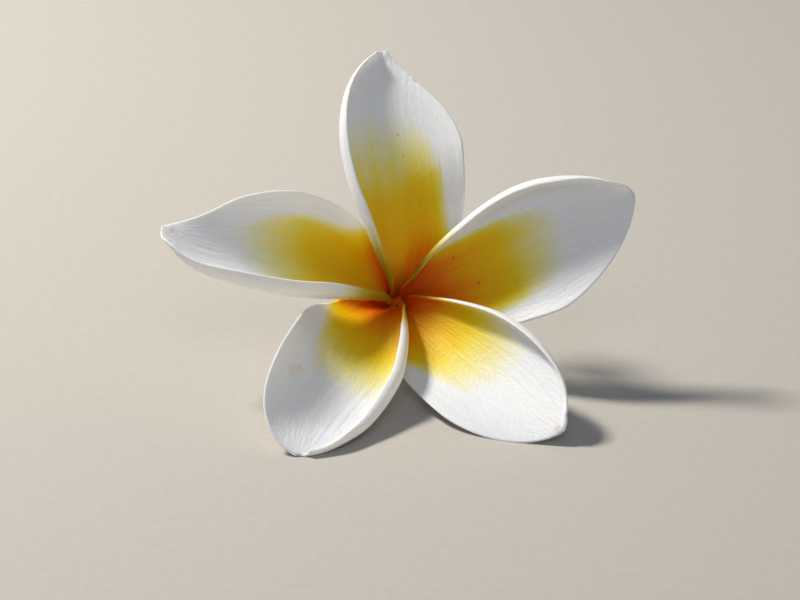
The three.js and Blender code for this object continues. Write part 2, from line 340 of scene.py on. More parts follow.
def surface_normals(points):
    """Unit normals of a grid: the cross product of its slopes along the rows and the columns."""
    normal = np.cross(np.gradient(points, axis=0), np.gradient(points, axis=1))
    return normal / np.linalg.norm(normal, axis=-1, keepdims=True)


# %% [markdown]
# ## Veins and waves
#
# A fresh petal is never quite smooth. Its veins fan out from the claw as soft ribs a millimetre
# or so apart, and its margins wave a little. Both are real changes of shape here, a few
# hundredths of a millimetre high, because low light shows them. They are sums of sine waves with
# seeded numbers, so each petal gets its own and gets the same ones every time.

# %% Relief
# Ribs are given by how many there are across one side and by their weight. Waves are given by
# how many sine waves are added, and by the ranges of their numbers along and across a petal.
RIBS = ((5.5, 0.45), (8.5, 0.35), (13, 0.2))
RIBS_WANDER = dict(count=3, per_length=(0.6, 1.8), per_side=(0.3, 1.2))
WANDER = 0.35            # how far the ribs wander, in ribs
RIBS_VARY = dict(count=4, per_length=(1.5, 5), per_side=(0.5, 3))
RIB_MEAN, RIB_RANGE = 0.75, 0.5
SLOW_WAVES = dict(count=4, per_length=(0.8, 2.6), per_side=(0.2, 0.8))
SLOW_HEIGHT = 0.1        # millimetres at the margins


def waves(rng, along, share, count, per_length, per_side):
    """The sum of some sine waves over the root of their count, with random phases, and with
    numbers of waves along the petal and across one side that are drawn from the two ranges."""
    total = 0
    for _ in range(count):
        phase = rng.uniform(0, 2 * np.pi)
        total = total + np.sin(2 * np.pi * (rng.uniform(*per_length) * along
                                            + rng.uniform(*per_side) * share) + phase)
    return total / math.sqrt(count)


def relief(petal, along, share, seed):
    """Millimetres along the normal: ribs that follow the veins and fade at the throat, the tip
    and the margins, by one less the fourth power of the share, and slow waves that grow towards
    the margins by its power 2.5."""
    rng = np.random.default_rng(seed)
    wander = WANDER * waves(rng, along, share, **RIBS_WANDER)
    ribs = sum(np.sin(2 * np.pi * (count * share + wander + rng.uniform())) * weight
               for count, weight in RIBS)
    ribs = ribs * (RIB_MEAN + RIB_RANGE * waves(rng, along, share, **RIBS_VARY))
    ribs = ribs * smoothstep(along, *ALONG["ribs_begin"]) * (1 - share ** 4)
    ribs = ribs * (1 - smoothstep(along, *ALONG["ribs_end"]))
    slow = waves(rng, along, share, **SLOW_WAVES) * np.abs(share) ** 2.5
    slow = slow * smoothstep(along, *ALONG["waves_begin"])
    return petal["ribs"] * ribs + SLOW_HEIGHT * slow


# %% [markdown]
# ## One petal as two faces
#
# The blade is thick and fleshy at the midrib and thin at its margins. The outer face keeps the
# place it has in the solid, the inner face comes closer to it towards the margins, and both meet
# in a round rim. Each point also gets what the colours need to know: how far along and across it
# is, how warm its colour is, on which face it is, and how bruised it is.

# %% Petal surface
SOLID_THICKNESS = 0.62   # millimetres, as at the midrib
MARGIN_THICKNESS = 0.34
EDGE_HALF = 0.012        # half of what is left at the very edge
FLESHY = 0.75            # share of a side over which the blade thins out
TIP_THINNING = 0.35


def petal_surface(petal, seed):
    """Inner and outer grid of points and the numbers that belong to them. The middle surface is
    the midrib plus the section's shifts along two directions that are turned about it."""
    along = row_places()
    clock, counter, roll = side_widths(petal, along)
    places = column_places(clock, counter, roll)
    across_shift, up_shift = section_points(petal, along, places, counter, roll)

    heading, twist = heading_at(petal, along)[:, None], twist_at(petal, along)[:, None]
    level = np.hstack([-np.sin(heading), np.cos(heading), 0 * heading])
    upright = np.cross(direction_at(petal, along), level)
    across = np.cos(twist) * level + np.sin(twist) * upright
    facing = np.cos(twist) * upright - np.sin(twist) * level
    middle = (midrib_points(petal, along)[:, None]
              + across_shift[..., None] * across[:, None] + up_shift[..., None] * facing[:, None])

    share = np.where(places < 0, places / clock[:, None], places / counter[:, None])
    along_all = np.broadcast_to(along[:, None], places.shape)
    normal = surface_normals(middle)
    middle = middle + normal * relief(petal, along_all, share, seed)[..., None]
    normal = surface_normals(middle)

    edge_distance = np.minimum(np.minimum(places + clock[:, None], counter[:, None] - places),
                               (1 - along_all) * petal["length"])
    inward = np.clip(edge_distance / RIM, 0, 1)
    fleshy = fade(share, FLESHY) * (1 - TIP_THINNING * along_all)
    full = between(MARGIN_THICKNESS, SOLID_THICKNESS, fleshy)
    half = full / 2 * np.sqrt(1 - (1 - inward) ** 2) + EDGE_HALF
    centre = (full - SOLID_THICKNESS) / 2
    inner = middle + normal * (centre + half)[..., None]
    outer = middle + normal * (centre - half)[..., None]
    return inner, outer, dict(along=along_all, share=share, places=places)


# %% [markdown]
# ## Meshes from grids
#
# Blender takes points, corner numbers and face starts as flat arrays. A closed sheet is two grids
# of the same size, one seen from the front and one from behind, with a strip of faces around
# their common edge.

# %% Mesh helpers


def add_mesh(name, points, *groups):
    """A smooth shaded object from an array of points in millimetres and one or more arrays of
    faces, each of which has a row of corner numbers for every face."""
    corners = np.concatenate([faces.ravel() for faces in groups])
    sizes = np.concatenate([np.full(len(faces), faces.shape[1]) for faces in groups])
    mesh = bpy.data.meshes.new(name)
    mesh.vertices.add(len(points))
    mesh.vertices.foreach_set("co", (points * MM).astype(np.float32).ravel())
    mesh.loops.add(len(corners))
    mesh.loops.foreach_set("vertex_index", corners.astype(np.int32))
    mesh.polygons.add(len(sizes))
    mesh.polygons.foreach_set("loop_start", (np.cumsum(sizes) - sizes).astype(np.int32))
    mesh.update(calc_edges=True)
    mesh.shade_smooth()
    piece = bpy.data.objects.new(name, mesh)
    bpy.context.scene.collection.objects.link(piece)
    return piece


def grid_faces(numbers):
    """Four-corner faces between neighbouring rows and columns of a grid of point numbers."""
    corners = [numbers[:-1, :-1], numbers[1:, :-1], numbers[1:, 1:], numbers[:-1, 1:]]
    return np.stack(corners, -1).reshape(-1, 4)


def sheet_faces(rows, columns):
    """Faces of two grids back to back: the first as it is, the second turned round, and between
    them one face for each step around the edge."""
    front = np.arange(rows * columns).reshape(rows, columns)
    back = front + rows * columns
    loop = np.concatenate([front[:-1, 0], front[-1, :-1], front[:0:-1, -1], front[0, :0:-1]])
    following = np.roll(loop, -1)
    rim = np.stack([following, loop, loop + rows * columns, following + rows * columns], -1)
    return np.vstack([grid_faces(front), grid_faces(back)[:, ::-1], rim])


def note(piece, name, values):
    """Keeps one number, or one vector, for each point of a piece as an attribute."""
    kind, field = ("FLOAT", "value") if values.ndim == 1 else ("FLOAT_VECTOR", "vector")
    attribute = piece.data.attributes.new(name, kind, "POINT")
    attribute.data.foreach_set(field, values.astype(np.float32).ravel())


# %% [markdown]
# ## Where a petal is yellow
#
# The yellow of a frangipani is a tongue: it reaches furthest along the midrib and leaves the
# margins white. In the throat it warms to orange and, on some petals, to a fiery red orange. So
# every point gets one number, its cool: 0 where the red orange ends, 1 where the orange has
# become gold, 2 where the gold is half faded and 3 where the petal is white. A colour ramp turns
# the number into colour later, and noise that is stretched along the veins makes it streaky.

# %% Colour numbers
# Stops are the shares of the length at which the colour is red orange, gold, yellow, pale and
# white. Warm is how much later the gold comes on the clockwise side, or earlier if it is below
# zero; that deeper orange is partly pigment and partly painted shade, the orange that a petal's
# shaded half takes from its neighbours. Lean is how much further the whole tongue reaches on that
# side. Sides are the shares of the two half widths that stay yellow, and outer is where the outer
# face turns white.
TINTS = {
    "up_right": dict(
        stops=(0.08, 0.34, 0.45, 0.52, 0.72), warm=0.07, lean=-0.04, sides=(0.8, 0.52), outer=0.36),
    "top": dict(
        stops=(0.0, 0.15, 0.38, 0.47, 0.75), warm=0.2, lean=-0.02, sides=(0.76, 0.86), outer=0.33),
    "left": dict(
        stops=(-0.02, 0.13, 0.38, 0.47, 0.7), warm=0.0, lean=0.12, sides=(0.76, 0.9), outer=0.29),
    "low_left": dict(
        stops=(0.05, 0.27, 0.36, 0.43, 0.62), warm=-0.1, lean=0.02, sides=(0.78, 0.9), outer=0.23),
    "low_right": dict(
        stops=(0.06, 0.23, 0.34, 0.42, 0.66), warm=0.04, lean=-0.05, sides=(0.76, 0.9), outer=0.26),
}
WORTHS = (1, 0.5, 0.5, 1)        # how much cool each of the four ramps adds
LATENESS = (1, 0.6, 0.36, 0)     # how much of the warm shift the end of each ramp takes
WARM_SIDE = (-0.1, 0.6)          # where across the clockwise side that shift comes in
LEAST_RAMP = 0.03                # shortest ramp, as a share of the length
MARGIN_RISE = 1.7                # cool that is added at the yellow's margins


def cool_at(tint, along, share):
    """Four ramps one after the other between the five stops, and a rise towards each margin, by
    the fifth power of the share, once the petal is out of the throat."""
    # The later gold on the clockwise side is partly pigment and partly painted shade.
    late = tint["warm"] * smoothstep(-share, *WARM_SIDE)
    place = along + tint["lean"] * share
    total, start = 0, tint["stops"][0]
    for stop, lateness, worth in zip(tint["stops"][1:], LATENESS, WORTHS):
        end = np.maximum(stop + lateness * late, start + LEAST_RAMP)
        total = total + worth * np.clip((place - start) / (end - start), 0, 1)
        start = end
    side = np.where(share < 0, *tint["sides"])
    margin = (np.abs(share) / side) ** 5 * smoothstep(along, *ALONG["margins_whiten"])
    return total + MARGIN_RISE * margin


def spots(marks, petal, along, across):
    """The sum of round marks: e to the power of minus the fourth power of the distance over the
    mark's radius, which is flat in the middle and soft at the edge."""
    total = np.zeros_like(along)
    for place, side, radius, strength in marks:
        distance = np.hypot((along - place) * petal["length"], across - side)
        total += strength * np.exp(-(distance / radius) ** 4)
    return total


# %% Marks of a fallen flower
# A mark has its place along the petal, its millimetres across from the midrib, its radius in
# millimetres and its strength.
MARKS = {
    "stain": {"low_left": [(0.681, -6.8, 1.0, 0.55), (0.6465, -6.2, 0.65, 0.8)]},
    "bruise": {"low_right": [(0.98, 0.0, 0.6, 0.9)],
               "left": [(0.959, -0.36, 0.5, 0.6)],
               "top": [(0.9666, 0.0, 0.7, 0.3), (0.955, -1.9, 0.5, 0.35)]},
    "speck": {"top": [(0.6515, -1.73, 0.17, 0.7), (0.5687, -2.34, 0.17, 0.7)],
              "up_right": [(0.2776, 2.17, 0.17, 0.8), (0.3334, -3.22, 0.19, 1.0),
                           (0.6364, -9.75, 0.17, 0.6)]},
}
print(sum(len(marks) for petal in MARKS.values() for marks in petal.values()), "marks")

# %% Build the petals
FIRST_SEED = 31
FLOW_APART = 40.0        # keeps the streaks of two petals from being the same


def both(grid):
    """The numbers of a grid once for the inner and once for the outer face."""
    return np.tile(grid.ravel(), 2)


petals = {}
outer_faces = []
for number, (name, petal) in enumerate(PETALS.items()):
    inner, outer, numbers = petal_surface(petal, FIRST_SEED + number)
    faces = turned(np.stack([inner, outer]), FIRST_PETAL_AT + PETAL_TURN * number, "z")
    outer_faces.append(faces[1])
    points = stand_up(faces.reshape(-1, 3))
    points[:, 2] = np.maximum(points[:, 2], 0)
    piece = add_mesh("blade_" + name, points, sheet_faces(*inner.shape[:2]))

    along, share, places = numbers["along"], numbers["share"], numbers["places"]
    spread = smoothstep(along, *ALONG["veins_spread"])
    fanned = between(share * petal["width"] / 2, places, spread)
    apart = np.full(len(points), FLOW_APART * number)
    note(piece, "flow", np.stack([both(along) * petal["length"], both(fanned), apart], -1))
    note(piece, "face", np.repeat([1.0, 0.0], along.size))
    note(piece, "cool", both(cool_at(TINTS[name], along, share)))
    note(piece, "outer_cool", both(along / TINTS[name]["outer"]))
    for kind, marks in MARKS.items():
        note(piece, kind, both(spots(marks.get(name, ()), petal, along, places)))

    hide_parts("petal_" + name)
    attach(piece, "root")
    petals[name] = piece
    low, high = np.array(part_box("petal_" + name)) / MM
    past = [*(low - points.min(0)), *(points.max(0) - high)]
    print(piece.name, len(piece.data.polygons) * 2, "triangles; past the solid by",
          np.round(past, 2), "mm")

# %% [markdown]
# ## The tube
#
# Behind the throat the five petals grow together into a thin, fleshy tube. Up to its waist it is
# turned like a vase. Higher up its skin has to follow the five petals, which start in a pinwheel
# and not in a ring, so it is fitted round them: it asks how far their outer faces reach in every
# direction and stays a hair outside. Inside, the same skin turns inwards under the petals and
# closes to a narrow funnel, so that no light comes through between them.

# %% How far the petals reach round the throat
# The tube's lengths and radii are millimetres. It narrows between two heights above its base and
# widens again from a share of the way to the petals on.
TUBE = dict(length=14.75, wall=0.6, gap=0.3, mouth=2.15, waist=1.75, base=2.05,
            narrows=(2, 6), widens=0.6)
TUBE_SIDES = 180
SLEEVE_TOP = -2.2        # heights count from the middle of the throat
SLEEVE_RINGS = 7
SLEEVE_HEIGHTS = np.linspace(-CLAW["depth"], SLEEVE_TOP, SLEEVE_RINGS)
ROOT_ROWS = 14           # rows of a petal's grid that lie beside the sleeve
DENSER = 16              # points for each step between them
SPREAD = 3               # cells to either side whose largest radius counts
SMOOTHING = 2            # cells to either side that are averaged
SMOOTHING_ROUNDS = 3


def neighbours(reach, count):
    """The same ring of values, shifted by minus count to count places and stacked."""
    return np.stack([np.roll(reach, shift, axis=1) for shift in range(-count, count + 1)])


def petal_reach(faces):
    """Largest radius of the outer faces by height and direction. The first rows of the grids are
    made denser by straight lines between them, each point falls into a cell by its height and
    its angle, and a cell keeps its largest radius. Each cell then takes the largest of its
    neighbours, but is never narrower than the cell above it by more than their step in height.
    Last it takes the mean of its neighbours, a few times over, which rounds the steps off."""
    share = (np.arange(DENSER) / DENSER)[:, None, None]
    faces = faces[:, :ROOT_ROWS, None]
    points = (faces[:, :-1] * (1 - share) + faces[:, 1:] * share).reshape(-1, 3)
    step = SLEEVE_HEIGHTS[1] - SLEEVE_HEIGHTS[0]
    level = np.rint((points[:, 2] - SLEEVE_HEIGHTS[0]) / step).astype(int)
    turns = np.arctan2(points[:, 1], points[:, 0]) / (2 * np.pi)
    column = np.rint(turns * TUBE_SIDES).astype(int) % TUBE_SIDES
    found = (level >= 0) & (level < SLEEVE_RINGS)
    radius = np.hypot(points[found, 0], points[found, 1])
    reach = np.zeros((SLEEVE_RINGS, TUBE_SIDES))
    np.maximum.at(reach, (level[found], column[found]), radius)
    reach = neighbours(reach, SPREAD).max(0)
    for ring in range(SLEEVE_RINGS - 2, -1, -1):
        reach[ring] = np.maximum(reach[ring], reach[ring + 1] - step)
    for _ in range(SMOOTHING_ROUNDS):
        reach = neighbours(reach, SMOOTHING).mean(0)
    return reach


sleeve = petal_reach(np.stack(outer_faces))
print("sleeve radius", sleeve.min().round(2), "to", sleeve.max().round(2), "mm")

# %% Tube surface
SKIN = 0.12              # millimetres of skin outside the petals
SKIN_WALL = 0.3          # thickness of the skin there
OUTSIDE_RINGS = 90
FLOOR_RINGS = 7
BORE_RINGS = 80
MERGE_FROM = -5.6        # height from which the outside turns into the sleeve
GLOW = (-12, -8.5)       # heights between which the bore turns from cream to orange
RIDGES, RIDGE_HEIGHT = 5, 0.03
UNEVEN = dict(count=4, per_length=(1, 4), per_side=(0.5, 2))
UNEVEN_HEIGHT, UNEVEN_LENGTH, UNEVEN_SEED = 0.02, 15, 7

# Heights and radii of the funnel, from the petals' roots down to where the bore is plain.
FUNNEL = [(-3.1, 1.3), (-3.2, 0.9), (-3.4, 0.4), (-3.8, 0.14),
          (-6.5, 0.1), (-8.0, 0.9), (-9.5, 1.15)]


def tube_radius(height):
    """Outer radius below the throat: it narrows from the base to the waist and widens again."""
    above_base = height + TUBE["length"]
    rim = TUBE["length"] - CLAW["depth"] - TUBE["gap"]
    base = between(TUBE["base"], TUBE["waist"], smoothstep(above_base, *TUBE["narrows"]))
    return between(base, TUBE["mouth"], smoothstep(above_base, TUBE["widens"] * rim, rim))


def tube_rings():
    """Height and radius, ring by ring, of the closed outline of the wall: up the outside, over
    the edge of the sleeve, down between sleeve and petals, in under the petals and down the bore.
    Five faint ridges and a little unevenness are added to the outside: a cosine of five times the
    angle, and seeded waves. Each ring also gets its share of the orange glow."""
    angle = 2 * np.pi * np.arange(TUBE_SIDES) / TUBE_SIDES
    climb = np.linspace(-TUBE["length"], -CLAW["depth"], OUTSIDE_RINGS)[:-1]
    rng = np.random.default_rng(UNEVEN_SEED)
    uneven = UNEVEN_HEIGHT * waves(rng, climb[:, None] / UNEVEN_LENGTH, np.cos(angle), **UNEVEN)
    ridges = RIDGE_HEIGHT * np.cos(RIDGES * (angle - np.radians(FIRST_PETAL_AT)))
    plain = tube_radius(climb)[:, None] + uneven + ridges
    outer = sleeve + SKIN
    outside = between(plain, outer[:1], smoothstep(climb, MERGE_FROM, -CLAW["depth"])[:, None])

    bore_height = np.linspace(FUNNEL[0][0], -TUBE["length"], BORE_RINGS)
    bore = np.interp(bore_height, *np.array(FUNNEL[::-1]).T)
    bore = np.where(bore_height < FUNNEL[-1][0], tube_radius(bore_height) - TUBE["wall"], bore)
    floor = between(outer[:1] - SKIN_WALL, bore[0], np.arange(FLOOR_RINGS)[:, None] / FLOOR_RINGS)
    radius = np.vstack([outside, outer, outer[::-1] - SKIN_WALL, floor, bore[:, None] + 0 * angle])
    height = np.concatenate([climb, SLEEVE_HEIGHTS, SLEEVE_HEIGHTS[::-1],
                             np.full(FLOOR_RINGS, bore_height[0]), bore_height])
    glow = np.concatenate([
        np.zeros(len(climb) + SLEEVE_RINGS), np.ones(SLEEVE_RINGS + FLOOR_RINGS),
        smoothstep(bore_height, *GLOW)])
    height = height[:, None] + 0 * angle
    return np.stack([radius * np.cos(angle), radius * np.sin(angle), height], -1), glow


def ring_faces(rings, sides, closed):
    """Faces of a grid whose columns, and whose rows if closed, join up with the first again."""
    numbers = np.arange(rings * sides).reshape(rings, sides)
    numbers = np.hstack([numbers, numbers[:, :1]])
    if closed:
        numbers = np.vstack([numbers, numbers[:1]])
    return grid_faces(numbers)[:, ::-1]


# %% Build the tube
grid, glow = tube_rings()
points = stand_up(grid.reshape(-1, 3))
points[:, 2] = np.maximum(points[:, 2], 0)
tube = add_mesh("tube_skin", points, ring_faces(len(grid), TUBE_SIDES, closed=True))
note(tube, "rise", np.repeat(grid[:, 0, 2] / TUBE["length"] + 1, TUBE_SIDES))
note(tube, "warm", np.repeat(glow, TUBE_SIDES))
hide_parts("corolla_tube")
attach(tube, "root")
print(tube.name, len(tube.data.polygons) * 2, "triangles")

# %% [markdown]
# ## The anthers
#
# Low in the tube sit five small anthers that lean together to a point, each on a short filament
# that springs from the wall. They are hard to see and quick to make: one fluted body, whose
# radius depends on height and direction, with a groove between each two anthers.

# %% Build the anthers
# The foot's height above the tube's end, the length, the radius and the tip's rise are
# millimetres. The groove's depth, the height of the feet and how far the top closes are shares.
STAMENS = dict(count=5, foot=1.6, length=3.2, radius=0.62, tip=0.05,
               groove=0.34, feet=0.25, closing=0.98)
STAMEN_SIDES = 100
STAMEN_RINGS = 60


def stamen_points():
    """Radius: a cone, the root of one less the squared height, less the grooves between the
    anthers, plus feet that reach for the wall below and are narrow by the lobe's third power."""
    up = np.linspace(0, 1, STAMEN_RINGS)[:, None]
    angle = 2 * np.pi * np.arange(STAMEN_SIDES) / STAMEN_SIDES
    lobe = 0.5 + 0.5 * np.cos(STAMENS["count"] * angle)
    cone = STAMENS["radius"] * np.sqrt(1 - STAMENS["closing"] * up ** 2)
    wall = TUBE["base"] - TUBE["wall"] - TUBE["gap"]
    feet = (1 - smoothstep(up, 0, STAMENS["feet"])) * (wall - STAMENS["radius"])
    radius = cone * (1 - STAMENS["groove"] * (1 - lobe) ** 2) + feet * lobe ** 3
    height = STAMENS["foot"] - TUBE["length"] + STAMENS["length"] * up + 0 * angle
    return np.stack([radius * np.cos(angle), radius * np.sin(angle), height], -1)


def fan_faces(ring, pole):
    """Three-corner faces from each step of a ring to one point. They look up if the ring runs
    counter-clockwise, and down if it runs clockwise."""
    return np.stack([ring, np.roll(ring, -1), np.full(len(ring), pole)], -1)


grid = stamen_points()
foot = [0, 0, grid[0, 0, 2]]
tip = [0, 0, grid[-1, 0, 2] + STAMENS["tip"]]
points = np.vstack([grid.reshape(-1, 3), foot, tip])
foot_ring = np.arange(STAMEN_SIDES)
tip_ring = foot_ring + STAMEN_SIDES * (STAMEN_RINGS - 1)
anthers = add_mesh(
    "anther_cone", stand_up(points), ring_faces(STAMEN_RINGS, STAMEN_SIDES, closed=False),
    fan_faces(foot_ring[::-1], len(points) - 2), fan_faces(tip_ring, len(points) - 1))
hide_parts("stamens")
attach(anthers, "root")
print(anthers.name, len(anthers.data.polygons), "faces")

# %% [markdown]
# ## Colours and nodes
#
# Colours are picked as a screen shows them and turned to linear light for Blender. Every node of
# a material is added by one small function, which takes the kind, what goes into its sockets and
# its settings.

# %% Colour and node helpers


def linear(hex_colour):
    """A screen colour such as F0C800 as linear light: each channel over 255, then the sRGB curve
    undone, which is a straight line in the dark and a power of 2.4 above it."""
    channels = [int(hex_colour[i:i + 2], 16) / 255 for i in (0, 2, 4)]
    return (*[c / 12.92 if c <= 0.04045 else ((c + 0.055) / 1.055) ** 2.4 for c in channels], 1)


def add(tree, kind, inputs=None, stops=None, **settings):
    """One node. Each input is a number, a colour or another node's output, and stops are the
    places and colours of a ramp, in order, the first two of which use the ramp's own points."""
    node = tree.nodes.new(kind)
    for name, value in settings.items():
        setattr(node, name, value)
    for name, value in (inputs or {}).items():
        if isinstance(value, bpy.types.NodeSocket):
            tree.links.new(value, node.inputs[name])
        else:
            node.inputs[name].default_value = value
    for i, (place, colour) in enumerate(stops or ()):
        elements = node.color_ramp.elements
        element = elements[i] if i < 2 else elements.new(place)
        element.position, element.color = place, linear(colour)
    return node


def new_material(name):
    """An empty material and its node tree."""
    material = bpy.data.materials.new(name)
    material.use_nodes = True
    material.node_tree.nodes.clear()
    return material, material.node_tree


# %% [markdown]
# ## Petal tissue
#
# A frangipani petal is fresh plant tissue: colourless, water-filled cells that scatter light like
# snow, under a thin waxy skin. The eye gets a soft white with light shining through the thin
# margins, a satin gloss on the ribs, and veins that show as faint greyer lines. The yellow is a
# pigment in the inner skin only, so the outer face stays white and is only tinged near the tube.
# There its brownish gold is partly that yellow and partly painted shade.

# %% Petal patterns
# The flow coordinates run along and across a petal in millimetres. Each scale is the number of
# features to the millimetre in those two directions.
petal_tissue, tree = new_material("fresh_petal_tissue")
flow = add(tree, "ShaderNodeAttribute", attribute_name="flow").outputs["Vector"]
place = add(tree, "ShaderNodeTexCoord").outputs["Object"]
STREAKS = (
    ((0.07, 0.55, 1), 3.0),      # bundles of veins, 2 mm apart
    ((0.11, 1.7, 1), 3.0),       # single veins, drawn 0.6 mm apart so that they show
    ((1.1, 2.2, 1), 2.0),        # fine crosswise crinkles, half a millimetre apart
)
streaks = []
for scale, detail in STREAKS:
    scaled = add(tree, "ShaderNodeMapping", {"Vector": flow, "Scale": scale}).outputs["Vector"]
    streaks.append(add(tree, "ShaderNodeTexNoise", {
        "Vector": scaled, "Scale": 1.0, "Detail": detail, "Roughness": 0.55}).outputs["Fac"])
broad, veins, crinkle = streaks

CELL_PATCHES = 2600.0            # to the metre: 0.4 mm each, as single cells are too fine to show
cells = add(tree, "ShaderNodeTexNoise", {
    "Vector": place, "Scale": CELL_PATCHES, "Detail": 2.0}).outputs["Fac"]
print(petal_tissue.name, "has", len(streaks), "patterns along the veins")

# %% [markdown]
# ## Pigment, veins and marks
#
# The cool number is disturbed by the patterns and looked up in a ramp from red orange over gold,
# yellow and cream to white. The outer face has a ramp of its own, from a brownish gold where the
# petals wrap round the tube to white; that gold is a pale yellow darkened with painted shade. The
# veins are a trace of grey over both. Last come the marks of a flower that has fallen: a faint
# stain, bruised tips and a few dark specks.

# %% Petal colours
INNER_FACE = [
    (0.0, "EC5604"), (0.11, "F47404"), (0.22, "F69A04"), (0.33, "F6B904"), (0.43, "F5C306"),
    (0.53, "F4CD18"), (0.62, "F3D748"), (0.71, "F3E07A"), (0.8, "F3E9AC"), (0.9, "F5F2DA"),
    (1.0, "F5F7FA")]
# The outer face's first colours, brown and olive gold, are a pale yellow with painted shade in it.
OUTER_TINT_AND_SHADE = [
    (0.0, "A05C04"), (0.3, "AA8206"), (0.5, "B4960A"), (0.7, "CCB844"), (0.85, "EAE2A8"),
    (1.0, "F6F7F8")]
COOLEST = 3.0
STREAKINESS = ((broad, 0.5), (veins, 0.45), (cells, 0.35))
OUTER_STREAKINESS = 0.4
NOISE_MEAN = 0.5

streaky = add(tree, "ShaderNodeAttribute", attribute_name="cool").outputs["Fac"]
for pattern, weight in STREAKINESS:
    streaky = add(tree, "ShaderNodeMath", {0: pattern, 1: weight, 2: streaky},
                  operation="MULTIPLY_ADD").outputs[0]
mean = NOISE_MEAN * sum(weight for _, weight in STREAKINESS)
streaky = add(tree, "ShaderNodeMath", {0: streaky, 1: mean}, operation="SUBTRACT").outputs[0]
streaky = add(tree, "ShaderNodeMath", {0: streaky, 1: COOLEST}, operation="DIVIDE").outputs[0]
inner_colour = add(tree, "ShaderNodeValToRGB", {"Fac": streaky}, stops=INNER_FACE).outputs["Color"]

outer_cool = add(tree, "ShaderNodeAttribute", attribute_name="outer_cool").outputs["Fac"]
centred = add(tree, "ShaderNodeMath", {0: broad, 1: NOISE_MEAN}, operation="SUBTRACT").outputs[0]
outer_tint_and_shade = add(tree, "ShaderNodeMath", {0: centred, 1: OUTER_STREAKINESS, 2: outer_cool},
            operation="MULTIPLY_ADD").outputs[0]
outer_colour = add(tree, "ShaderNodeValToRGB", {"Fac": outer_tint_and_shade}, stops=OUTER_TINT_AND_SHADE).outputs["Color"]
print("ramps of", len(INNER_FACE), "and", len(OUTER_TINT_AND_SHADE), "colours")

# %% Both faces, veins and marks
face = add(tree, "ShaderNodeAttribute", attribute_name="face").outputs["Fac"]
colour = add(tree, "ShaderNodeMix", {0: face, 6: outer_colour, 7: inner_colour},
             data_type="RGBA").outputs[2]
vein_tint = add(tree, "ShaderNodeMapRange", {
    "Value": veins, "From Min": 0.42, "From Max": 0.62, "To Max": 0.06}).outputs["Result"]
colour = add(tree, "ShaderNodeMix", {0: vein_tint, 6: colour, 7: linear("8F96A0")},
             data_type="RGBA", blend_type="MULTIPLY").outputs[2]
for kind, strength, mark_colour in (
        ("stain", 0.45, "DDBA98"), ("bruise", 0.55, "B98C86"), ("speck", 0.75, "3A2410")):
    mark = add(tree, "ShaderNodeAttribute", attribute_name=kind).outputs["Fac"]
    amount = add(tree, "ShaderNodeMath", {0: mark, 1: strength}, operation="MULTIPLY").outputs[0]
    colour = add(tree, "ShaderNodeMix", {0: amount, 6: colour, 7: linear(mark_colour)},
                 data_type="RGBA").outputs[2]

# %% [markdown]
# ## Gloss, crinkles and light inside a petal
#
# The skin is taut and a little glossier over the veins. Fine crinkles could be modelled, but they
# are hundredths of a millimetre high, so a bump is enough. Light that enters a petal spreads for
# a millimetre or two, red furthest, which fills its shaded folds: that is the subsurface part.

# %% Petal surface finish
PATTERN_HEIGHT = 0.09 * MM       # what a pattern that is one unit higher stands for
shine = add(tree, "ShaderNodeMapRange", {
    "Value": veins, "From Min": 0.3, "From Max": 0.7,
    "To Min": 0.52, "To Max": 0.4}).outputs["Result"]
height = veins
for pattern, weight in ((crinkle, 0.9), (cells, 0.3)):
    height = add(tree, "ShaderNodeMath", {0: pattern, 1: weight, 2: height},
                 operation="MULTIPLY_ADD").outputs[0]
bump = add(tree, "ShaderNodeBump", {
    "Strength": 1.0, "Distance": PATTERN_HEIGHT, "Height": height}).outputs["Normal"]
tissue = add(tree, "ShaderNodeBsdfPrincipled", {
    "Base Color": colour, "Roughness": shine, "Normal": bump, "IOR": 1.4,
    "Specular IOR Level": 0.28,
    "Subsurface Weight": 0.5, "Subsurface Radius": (1.0, 0.85, 0.6), "Subsurface Scale": 1.6 * MM,
})
add(tree, "ShaderNodeOutputMaterial", {"Surface": tissue.outputs["BSDF"]})
for piece in petals.values():
    piece.data.materials.append(petal_tissue)
print(petal_tissue.name, "has", len(tree.nodes), "nodes")

# %% [markdown]
# ## Tube skin and anthers
#
# The tube is the same tissue, thicker and with some leaf green in it, so it looks like pale wax
# that is yellow-green at the cut end and cream higher up. Towards the mouth it turns a brownish
# gold like the petals' outer faces there, which is partly pigment and partly painted shade. The
# anthers are dry sacs that are dusted with pollen, and pollen is matt and deep yellow.

# %% Tube skin
MOTTLES = 900.0                  # to the metre: 1.1 mm each
MOTTLED = 0.3
# The last two colours, brownish gold near the mouth, are partly pigment and partly painted shade.
SKIN_COLOURS = [
    (0.0, "A9A24E"), (0.1, "C4C47C"), (0.4, "DFDDA8"), (0.62, "E0D690"), (0.78, "BE9A34"),
    (1.0, "AE7614")]

tube_skin, tree = new_material("waxy_tube_skin")
rise = add(tree, "ShaderNodeAttribute", attribute_name="rise").outputs["Fac"]
place = add(tree, "ShaderNodeTexCoord").outputs["Object"]
mottle = add(tree, "ShaderNodeTexNoise", {
    "Vector": place, "Scale": MOTTLES, "Detail": 4.0}).outputs["Fac"]
centred = add(tree, "ShaderNodeMath", {0: mottle, 1: NOISE_MEAN}, operation="SUBTRACT").outputs[0]
mottled = add(tree, "ShaderNodeMath", {0: centred, 1: MOTTLED, 2: rise},
              operation="MULTIPLY_ADD").outputs[0]
colour = add(tree, "ShaderNodeValToRGB", {"Fac": mottled}, stops=SKIN_COLOURS).outputs["Color"]
warm = add(tree, "ShaderNodeAttribute", attribute_name="warm").outputs["Fac"]
colour = add(tree, "ShaderNodeMix", {0: warm, 6: colour, 7: linear("F57C0A")},
             data_type="RGBA").outputs[2]
